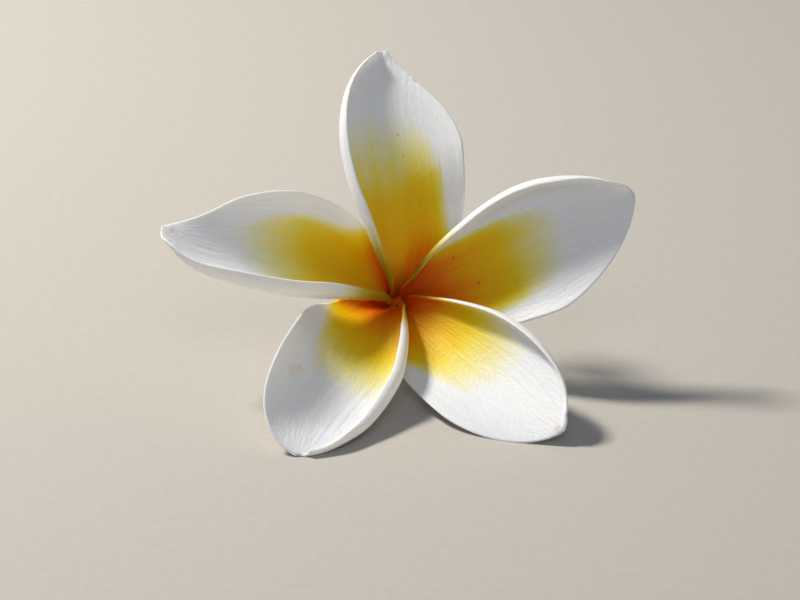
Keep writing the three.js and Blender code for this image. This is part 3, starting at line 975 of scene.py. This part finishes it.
bump = add(tree, "ShaderNodeBump", {
    "Strength": 0.8, "Distance": 0.05 * MM, "Height": mottle}).outputs["Normal"]
skin = add(tree, "ShaderNodeBsdfPrincipled", {
    "Base Color": colour, "Roughness": 0.6, "Normal": bump, "IOR": 1.4,
    "Specular IOR Level": 0.15,
    "Subsurface Weight": 0.25, "Subsurface Radius": (1.0, 0.9, 0.5), "Subsurface Scale": 0.5 * MM,
})
add(tree, "ShaderNodeOutputMaterial", {"Surface": skin.outputs["BSDF"]})
tube.data.materials.append(tube_skin)
print(tube_skin.name, "has", len(tree.nodes), "nodes")

# %% Pollen
POLLEN_GRAINS = 9000.0           # to the metre: 0.1 mm each

pollen, tree = new_material("pollen_dusted_anther")
place = add(tree, "ShaderNodeTexCoord").outputs["Object"]
grains = add(tree, "ShaderNodeTexVoronoi", {
    "Vector": place, "Scale": POLLEN_GRAINS}).outputs["Distance"]
colour = add(tree, "ShaderNodeValToRGB", {"Fac": grains}, stops=[(0.0, "E8C258"), (1.0, "A87A22")])
bump = add(tree, "ShaderNodeBump", {
    "Strength": 0.7, "Distance": 0.04 * MM, "Height": grains}).outputs["Normal"]
dust = add(tree, "ShaderNodeBsdfPrincipled", {
    "Base Color": colour.outputs["Color"], "Roughness": 0.85, "Normal": bump})
add(tree, "ShaderNodeOutputMaterial", {"Surface": dust.outputs["BSDF"]})
anthers.data.materials.append(pollen)
print(pollen.name, "has", len(tree.nodes), "nodes")

# %% [markdown]
# ## Floor, light and camera
#
# The flower stands on a plain pale board, painted matt so that it throws no glare. The main lamp
# stands high on the left and a little behind: it lights the rolled margins and the lower petals,
# lets some light through the thin blades and leaves the cups in a soft shade, as low sun does. A
# weak, broad lamp in front looks straight into the throat, so that it doesn't fall dark, and the
# sky around is a cool white. The camera stands 23 degrees above the ground, 45 cm from the throat,
# with a long lens.

# %% Floor
FLOOR_HALF = 2500.0              # millimetres
BOARD_GRAIN = 700.0              # to the metre: 1.4 mm each

corners = np.array([[-1, -1, 0], [1, -1, 0], [1, 1, 0], [-1, 1, 0]]) * FLOOR_HALF
board = add_mesh("floor_board", corners, np.array([[0, 1, 2, 3]]))
painted, tree = new_material("matt_painted_board")
place = add(tree, "ShaderNodeTexCoord").outputs["Object"]
grain = add(tree, "ShaderNodeTexNoise", {
    "Vector": place, "Scale": BOARD_GRAIN, "Detail": 3.0}).outputs["Fac"]
colour = add(tree, "ShaderNodeValToRGB", {"Fac": grain}, stops=[(0.0, "B9B5AE"), (1.0, "C4C0B9")])
matt = add(tree, "ShaderNodeBsdfPrincipled", {
    "Base Color": colour.outputs["Color"], "Roughness": 0.9})
add(tree, "ShaderNodeOutputMaterial", {"Surface": matt.outputs["BSDF"]})
board.data.materials.append(painted)
board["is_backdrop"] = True
print(board.name, "is", 2 * FLOOR_HALF * MM, "m wide")

# %% Lights


def add_lamp(name, azimuth, elevation, distance, size, power, colour):
    """A square lamp that faces the throat, with its distance and size in metres and its power in
    watts. Its azimuth counts from the front towards the right: the throat plus the distance
    times the sines and cosines of the two angles."""
    turn, rise = math.radians(azimuth), math.radians(elevation)
    level = math.cos(rise)
    out = np.array([math.sin(turn) * level, -math.cos(turn) * level, math.sin(rise)])
    data = bpy.data.lights.new(name, "AREA")
    data.size, data.energy, data.color = size, power, linear(colour)[:3]
    lamp = bpy.data.objects.new(name, data)
    lamp.location = THROAT * MM + out * distance
    lamp.rotation_euler = (math.radians(90 - elevation), 0, turn)
    bpy.context.scene.collection.objects.link(lamp)
    print(name, power, "W")


add_lamp("key_left", azimuth=-118, elevation=50, distance=0.7, size=0.12, power=6.0, colour="FFF8EC")
add_lamp("fill_front", azimuth=2, elevation=45, distance=0.9, size=0.35, power=1.0, colour="F4F7FF")

# %% Sky
world = bpy.data.worlds.new("pale_sky")
world.use_nodes = True
sky = world.node_tree.nodes["Background"]
sky.inputs["Color"].default_value = linear("DCE8FA")
sky.inputs["Strength"].default_value = 0.2
bpy.context.scene.world = world
print(world.name, "strength", sky.inputs["Strength"].default_value)

# %% Camera
LENS = 126.5625                          # these three are millimetres
SENSOR = 36
DISTANCE = 450
CAMERA_ELEVATION = math.radians(23)
AIM_RIGHT, AIM_DOWN = 0.24, 0.16         # millimetres from the throat

back = np.array([0, -math.cos(CAMERA_ELEVATION), math.sin(CAMERA_ELEVATION)])
up = np.array([0, math.sin(CAMERA_ELEVATION), math.cos(CAMERA_ELEVATION)])
aim = THROAT + AIM_RIGHT * np.array([1, 0, 0]) - AIM_DOWN * up
camera = bpy.data.objects.new("camera", bpy.data.cameras.new("camera"))
camera.data.lens = LENS
camera.data.sensor_width = SENSOR
camera.location = (aim + DISTANCE * back) * MM
camera.rotation_euler = (math.pi / 2 - CAMERA_ELEVATION, 0, 0)
bpy.context.scene.collection.objects.link(camera)
bpy.context.scene.camera = camera
print("camera", DISTANCE, "mm from the throat, lens", LENS, "mm")

# %% [markdown]
# ## Colours as they were picked
#
# Blender's usual film look greys strong yellows and oranges. The petals' colours were picked as a
# screen shows them, so the render is made without that look, and the lamps stay weak enough for
# the white petals to keep their shading.

# %% Render colours
bpy.context.scene.view_settings.view_transform = "Standard"

# %% Sizes
bpy.context.view_layer.update()
low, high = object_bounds()
print("dressed", [round(v / MM, 2) for v in (*low, *high)], "mm")
